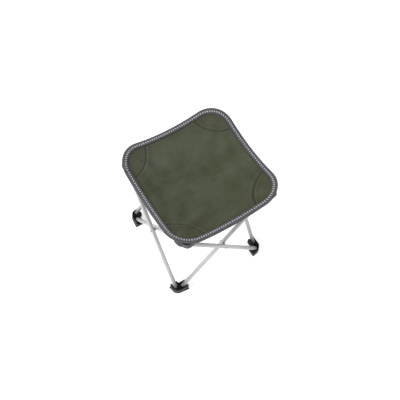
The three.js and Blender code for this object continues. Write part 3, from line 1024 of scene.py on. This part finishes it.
FOOT_LEVELS = [             # (height, offset, flare): sole, spread flange, grey band, lip, wall
    (0, 0.6, 2.2), (0.8, 1.7, 2.6), (4.2, 1.7, 2.6), (5.0, 1.4, 2.2), (5.6, 0.1, 0.6),
    (12.4, -0.4, 0.2), (13.0, 0.2, 0.3), (14.6, 0.4, 0.3), (16.0, 0, 0), (27, 0, 0),
]
BAND = (0.0052, 0.0126)     # heights of the foot's grey band
HUB_LEVELS = [(0, -3.4, 0), (0.7, -2.9, 0), (2, -1.9, 0), (3.6, -0.9, 0), (5.5, -0.3, 0), (8, 0, 0),
              (17.5, 0, 0), (18.4, 0.6, 0), (19.5, 0, 0)]


def repeat_on_corners(source, local, kind):
    """Places one moulding at all four corners. Its own place, local, is at the front left corner."""
    for side, corner in enumerate(CORNERS):
        name = f"{corner}_{kind}_moulding"
        obj = source if side == 0 else new_object(name, source.data, None)
        obj.name = name
        obj.matrix_world = quarter(side) @ local
        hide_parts(f"{corner}_{kind}")
        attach(obj, f"{kind}_{corner}")


def add_feet():
    top = (FOOT_PIVOT_Z + ROOF_RISE) / MM
    roof = plan_solid([(6, -0.9, 0), (16, -0.1, 0), (top - 0.8, -0.1, 0), (top, -0.8, 0)])
    combine(roof, box_object(-ARM, ROOF_REACH, -ARM, ROOF_REACH, 0, 0.05), "INTERSECT")
    foot = corner_moulding("foot", FOOT_PIVOT_Z, FOOT_LEVELS, [roof], 0.010)
    # The band's faces get the lighter grey, a painted highlight.
    foot.data.materials.append(BAND_HIGHLIGHT)
    for polygon in foot.data.polygons:
        z = polygon.center.z
        outside = polygon.center.x < OUTER_FACE - 0.002 or polygon.center.y < INBOARD
        if BAND[0] < z < BAND[1] and abs(polygon.normal.z) < 0.9 and outside:
            polygon.material_index = 1
    repeat_on_corners(foot, Matrix.Translation((-CORNER, -CORNER, 0)), "foot")


HUB_BASE = SWING + 0.0034


def hub_placing():
    """Turns a corner moulding over about the diagonal of its corner and lifts it to the hub's height."""
    over = Matrix.Rotation(math.pi, 4, Vector((1, 1, 0)).normalized())
    return Matrix.Translation((-CORNER, -CORNER, HUB_PIVOT_Z + HUB_BASE)) @ over


def add_hubs():
    dome = [(0, -7.5), (4.5, -7.3), (7.6, -6.2), (9.3, -4.2), (10.2, -1.0), (10.4, 1.5), (0, 1.5)]
    boss = turned("tool", [(r * MM, z * MM) for r, z in dome], Matrix.Translation((-0.004, 0.011, 0)), 28)
    hub = corner_moulding("hub", HUB_BASE, HUB_LEVELS, [boss], 0)
    repeat_on_corners(hub, hub_placing(), "hub")


# ---- pockets ----------------------------------------------
POCKET_REACH = 0.029        # along each arm, from the corner point
POCKET_TOP = 0.0195         # over the hinges
POCKET_HEM = -0.0072
POCKET_GAP = 0.0072         # from the seat's surface down to the pocket's two ends
PUFF_CENTRE = Vector((0.016, 0.016))   # in plan, the place that the pocket's cloth puffs away from
FRONT_PUFF, LEFT_PUFF = 2.4, 11.0      # of the lobes round the two arms, in mm


def pocket_path(offset):
    """Points round the outside of a hub, in plan about the front left corner point, from one arm's end to
    the other's."""
    front = -INBOARD - WALL - offset
    left = -OUTER_FACE - offset
    radius = CORNER_ROUND + offset
    along = POCKET_REACH - (left + radius)
    bend = math.pi / 2 * radius
    total = along + bend + POCKET_REACH - (front + radius)
    count = 64
    points = []
    for k in range(count + 1):
        s = total * k / count
        if s < along:
            points.append((POCKET_REACH - s, front))
        elif s < along + bend:
            angle = 1.5 * math.pi - (s - along) / radius
            points.append((left + radius * (1 + math.cos(angle)), front + radius * (1 + math.sin(angle))))
        else:
            points.append((left, front + radius + (s - along - bend)))
    return points


def keep_off_hub(point, offset):
    """Moves a point of a plan outwards until it clears the hub's outline by offset."""
    centre = Vector((CORNER_ROUND - OUTER_FACE, CORNER_ROUND - INBOARD - WALL))
    away = Vector((max(centre.x - point.x, 0), max(centre.y - point.y, 0)))
    if away.length < 1e-6:
        return point
    lack = CORNER_ROUND + offset - away.length
    return point - away.normalized() * lack if lack > 0 else point


POCKET_SLUMP = (0.0, 9.0, 2.0, 1.5)    # how far each corner's pocket has slipped down its hub, in mm


def pocket_skin(place, depth, slump):
    """One face of the pocket: columns of points from its mouth down to its hem. The mouth hangs from the
    seat's edge at its two ends and lies over the hub's shoulder between them."""
    columns = []
    upper = pocket_path(depth - 1.6 * MM)
    lower = pocket_path(depth + 0.4 * MM)
    mouth_z = POCKET_TOP - slump * MM
    rows = 14
    for k, (mouth, hem) in enumerate(zip(upper, lower)):
        share = k / (len(upper) - 1)
        end = abs(2 * share - 1) ** 6
        start = Vector(mouth)
        at_seat = place @ Vector((*start, 0))
        gap = edge_distance(at_seat.x, at_seat.y)
        outward = (start - PUFF_CENTRE).normalized()
        hung = start + outward * max(0.0, gap - 0.006) * end
        absolute = place @ Vector((*hung, 0))
        ceiling = seat_z(absolute.x, absolute.y) - POCKET_GAP - HUB_PIVOT_Z
        top = mouth_z + (ceiling - mouth_z) * end
        lobe = abs(math.sin(2 * math.pi * share)) ** 0.6
        hem_z = POCKET_HEM + 0.0042 * (1 - lobe) + 0.004 * end
        swell = LEFT_PUFF if share > 0.5 else FRONT_PUFF
        column = []
        for r in range(rows + 1):
            t = r / rows
            flat = hung.lerp(Vector(hem), min(1.0, t * 1.6) ** 0.8)
            puff = math.sin(math.pi * t ** 0.7) * (0.4 + swell * lobe) + 0.3 * math.sin(46 * share + 8 * t)
            tuck = -3.0 * max(0.0, (t - 0.86) / 0.14) ** 2
            flat = keep_off_hub(flat + outward * puff * MM, depth + 0.4 * MM)
            flat = flat + outward * tuck * MM
            column.append(place @ Vector((flat.x, flat.y, top + (hem_z - top) * t)))
        columns.append(column)
    return columns


def add_pockets():
    """Cloth cups that the hubs sit in, sewn under the seat's edge, with a lobe for each arm."""
    for side in range(4):
        place = quarter(side) @ Matrix.Translation((-CORNER, -CORNER, HUB_PIVOT_Z))
        outer, inner = (pocket_skin(place, depth, POCKET_SLUMP[side]) for depth in (1.1 * MM, 0.4 * MM))
        rings = [o + list(reversed(i)) for o, i in zip(outer, inner)]
        obj = lofted(f"{CORNERS[side]}_pocket_cloth", rings, POCKET)
        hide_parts(f"{CORNERS[side]}_pocket")
        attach(obj, f"hub_{CORNERS[side]}")


# ---- tubes, rivets, pins ----------------------------------
MIDDLE_Z = (FOOT_PIVOT_Z + HUB_PIVOT_Z) / 2


def add_tubes():
    half = TUBE_SPAN / 2 + TUBE_OVERHANG
    wall, edge = 0.0009, 0.00035
    profile = [
        (TUBE_RADIUS - wall, -half), (TUBE_RADIUS - edge, -half), (TUBE_RADIUS, -half + edge),
        (TUBE_RADIUS, half - edge), (TUBE_RADIUS - edge, half), (TUBE_RADIUS - wall, half),
    ]
    first = None
    for side in range(4):
        for layer, sign in (("inner", 1), ("outer", -1)):
            name = f"{SIDES[side]}_{layer}_tube"
            if first is None:
                obj = first = turned(f"{name}_steel", profile, Matrix.Identity(4), 40, SILVER)
            else:
                obj = new_object(f"{name}_steel", first.data, None)
            tilt = Matrix.Rotation(sign * (FOLDED_TILT + FOLD), 4, "Y")
            middle = Matrix.Translation((0, -CORNER + sign * STAGGER, MIDDLE_Z))
            obj.matrix_world = quarter(side) @ middle @ tilt
            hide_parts(name)
            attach(obj, f"tube_{SIDES[side]}_{layer}")


def add_fastener(name, profile, matrix, segments, material, node, body):
    obj = turned(name, profile, matrix, segments, material)
    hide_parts(node)
    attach(obj, body)


def add_crossings():
    """A rivet through each pair of crossing tubes, with a washer between them."""
    face = STAGGER + TUBE_RADIUS
    dome = [(0, 2.1), (1.6, 2.0), (3.0, 1.5), (3.9, 0.8), (4.2, 0.2), (2.0, 0.1)]
    head = [(radius * MM, face + rise * MM) for radius, rise in dome]
    rivet = head + [(radius, -z) for radius, z in reversed(head)]
    half = STAGGER - TUBE_RADIUS - 0.0003
    bore, rim, chamfer = 0.0023, 0.0061, 0.0003
    washer = [(bore, -half), (rim - chamfer, -half), (rim, -half + 0.0002), (rim, half - 0.0002),
              (rim - chamfer, half), (bore, half)]
    for side in range(4):
        centre = quarter(side) @ Vector((0, -CORNER, MIDDLE_Z))
        matrix = along_axis(centre, quarter(side) @ Vector((0, 1, 0)))
        for kind, profile in (("rivet", rivet), ("washer", washer)):
            node = f"{SIDES[side]}_cross_{kind}"
            add_fastener(f"{node}_part", profile, matrix, 32, ZINC, node, f"tube_{SIDES[side]}_inner")


def add_pins():
    """A headed pin through every tube's end."""
    shank = 2 * (CHANNEL + WALL) - 0.0007
    dome = [(0, 1.9), (1.4, 1.8), (2.7, 1.4), (3.6, 0.7), (3.8, 0.1)]
    pin = [(radius * MM, -rise * MM) for radius, rise in dome] + [(0.002, 0), (0.002, shank), (0, shank)]
    for side in range(4):
        previous = SIDES[(side + 3) % 4]
        foot = quarter(side) @ Matrix.Translation((-CORNER, -CORNER, 0))
        hub = quarter(side) @ hub_placing()
        for place, base, along_name, across_name, body in (
            (foot, FOOT_PIVOT_Z, f"{SIDES[side]}_inner_foot_pin", f"{previous}_outer_foot_pin", "foot"),
            (hub, HUB_BASE, f"{previous}_inner_hub_pin", f"{SIDES[side]}_outer_hub_pin", "hub"),
        ):
            for node, position, axis in (
                (along_name, (PIVOT_INSET, -OUTER_FACE, base), (0, 1, 0)),
                (across_name, (-STAGGER - CHANNEL - WALL, PIVOT_INSET, base), (1, 0, 0)),
            ):
                matrix = place @ along_axis(position, axis)
                add_fastener(f"{node}_part", pin, matrix, 24, DARK_STEEL, node, f"{body}_{CORNERS[side]}")


# ---- build ------------------------------------------------
add_camera()
add_stage()
add_tubes()
add_feet()
add_hubs()
add_crossings()
add_pins()
add_pockets()
add_seat()
